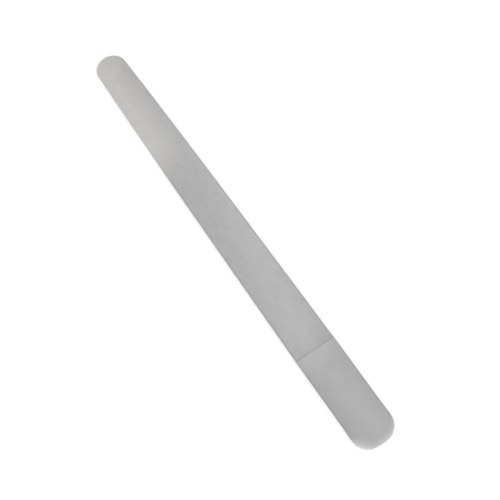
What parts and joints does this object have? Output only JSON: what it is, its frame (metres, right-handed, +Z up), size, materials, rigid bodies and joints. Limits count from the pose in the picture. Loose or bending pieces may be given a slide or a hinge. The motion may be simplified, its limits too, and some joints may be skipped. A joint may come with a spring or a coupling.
{
  "type": "nail file",
  "caption": "Flat steel nail file with a plain rounded handle, a hollow-ground shoulder and a tapering blade coated with diamond grit on both faces.",
  "frame": {"origin": "under the middle of the file's length, on the surface that its back face lies on", "axes": "+Y along the file from the butt of the handle to the narrow point, +Z up through its thickness to the front face, +X across it"},
  "size_m": [0.0168, 0.18, 0.0018],
  "materials": {
    "stainless_steel": "fine satin, tumbled after grinding",
    "plated_nickel": "matte electroplated nickel",
    "diamond_grit": "coarse pale grey grains, flashed over with nickel"
  },
  "bodies": {
    "root": {"steel_blank": "stainless_steel", "front_nickel_bond": "plated_nickel", "back_nickel_bond": "plated_nickel", "front_diamond_grit": "diamond_grit", "back_diamond_grit": "diamond_grit"}
  },
  "joints": []
}
